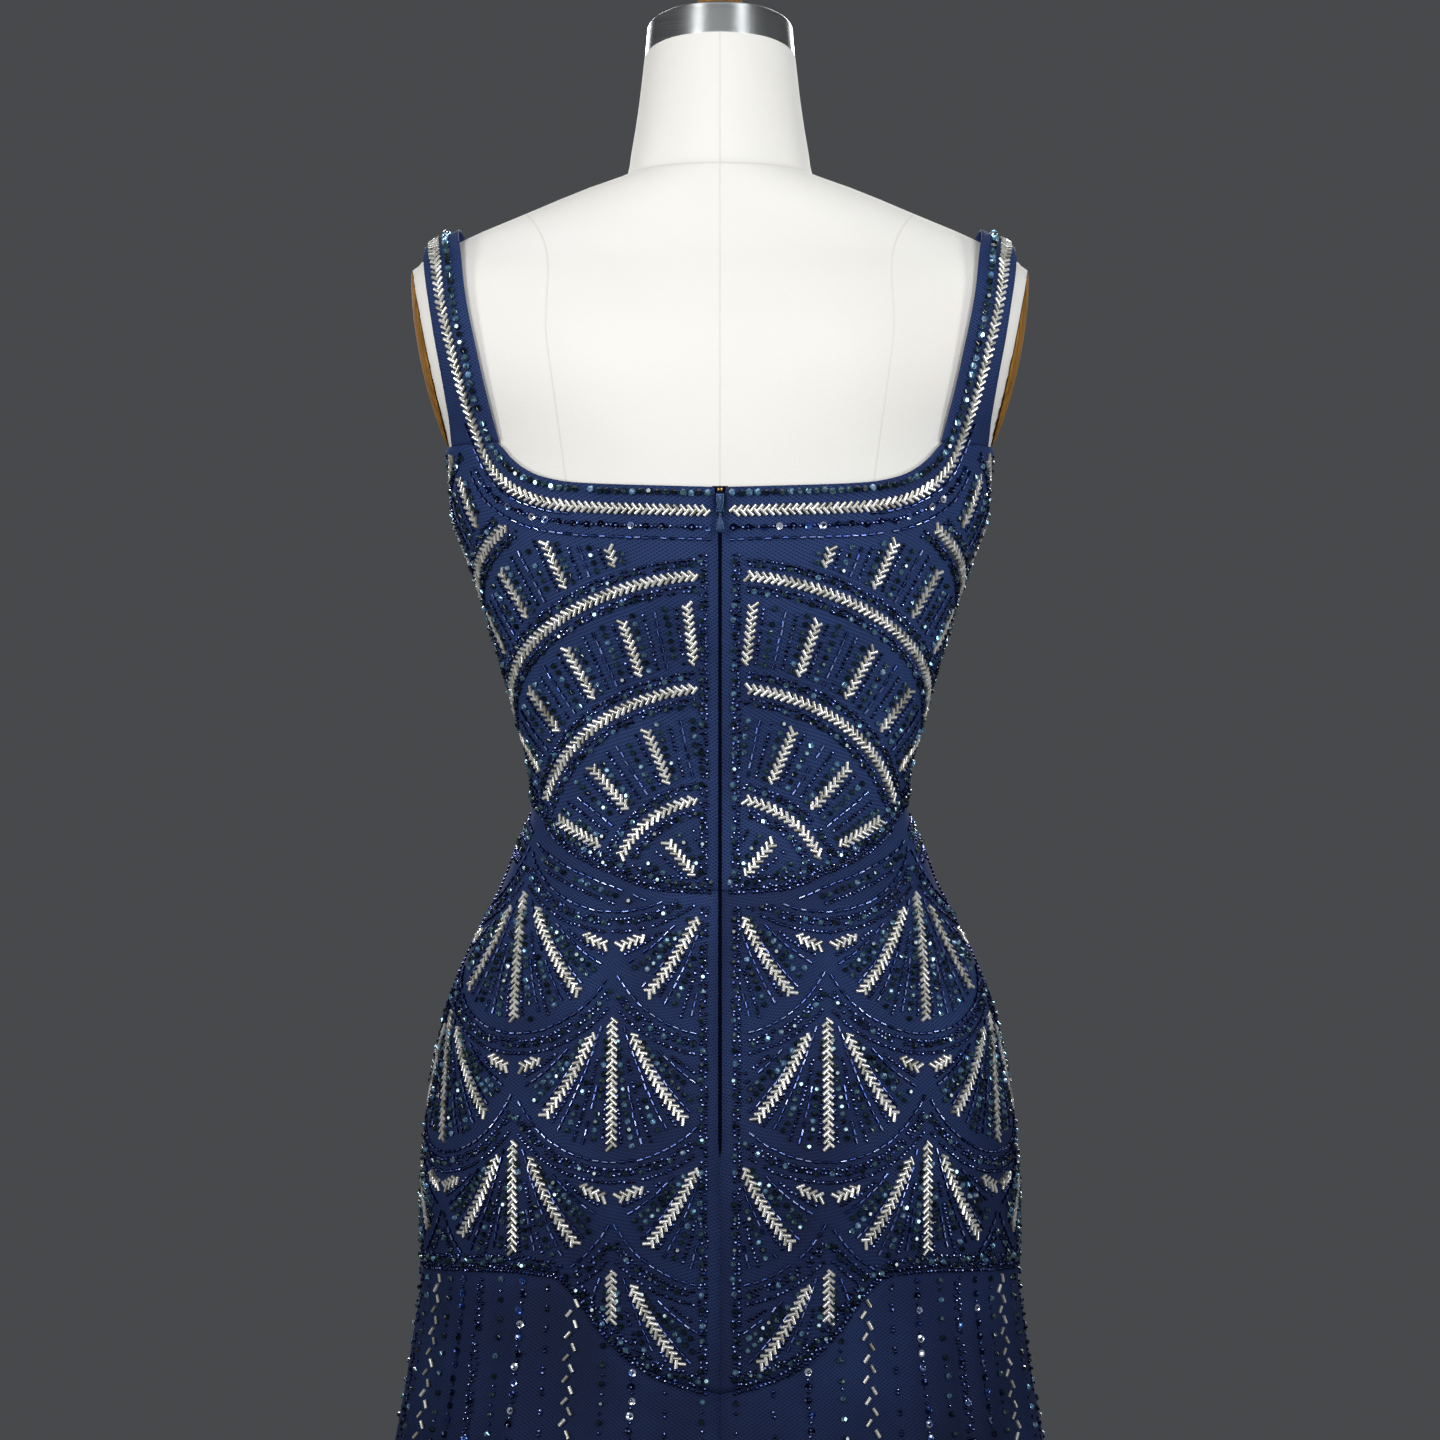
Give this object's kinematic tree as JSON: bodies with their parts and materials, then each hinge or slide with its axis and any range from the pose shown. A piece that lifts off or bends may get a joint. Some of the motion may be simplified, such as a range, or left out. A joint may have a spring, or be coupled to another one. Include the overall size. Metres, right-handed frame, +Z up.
{
  "type": "evening gown on dress form",
  "caption": "Floor-length sleeveless evening gown with fitted bodice, shaped hip yoke and fluted flared skirt, worn by a limbless dress form on a round base.",
  "frame": {"origin": "on the floor, at the centre of the base's underside, under the pole", "axes": "+Z up; the wearer faces -Y, so the zipped back faces +Y; the wearer's left is +X"},
  "size_m": [0.7052, 0.6218, 1.5981],
  "materials": {
    "navy_net": "fine matt net over a plain ground, deep navy",
    "black_coil": "matt",
    "navy_enamel": "satin enamel",
    "ivory_linen": "plain linen",
    "brown_wood": "satin varnish",
    "brushed_metal": "brushed",
    "stand_metal": "satin black"
  },
  "bodies": {
    "gown": {"bodice_back_left": "navy_net", "bodice_back_right": "navy_net", "bodice_front": "navy_net", "strap_left": "navy_net", "strap_right": "navy_net", "yoke_back_left": "navy_net", "yoke_back_right": "navy_net", "yoke_front": "navy_net", "skirt_back_left": "navy_net", "skirt_back_right": "navy_net", "skirt_front": "navy_net", "zip_coil": "black_coil", "zip_slider": "navy_enamel", "form_torso": "ivory_linen", "arm_plate_left": "brown_wood", "arm_plate_right": "brown_wood", "finial": "brown_wood", "neck_cap": "brushed_metal", "pole": "stand_metal", "base": "stand_metal"},
    "pull_tab": {"zip_pull": "navy_enamel"}
  },
  "joints": [
    {"name": "zip_pull_swing", "type": "hinge", "parent": "gown", "child": "pull_tab", "pos_m": [0, 0.10802, 1.2205], "axis": [1, 0, 0], "range_deg": [0, 150]}
  ]
}
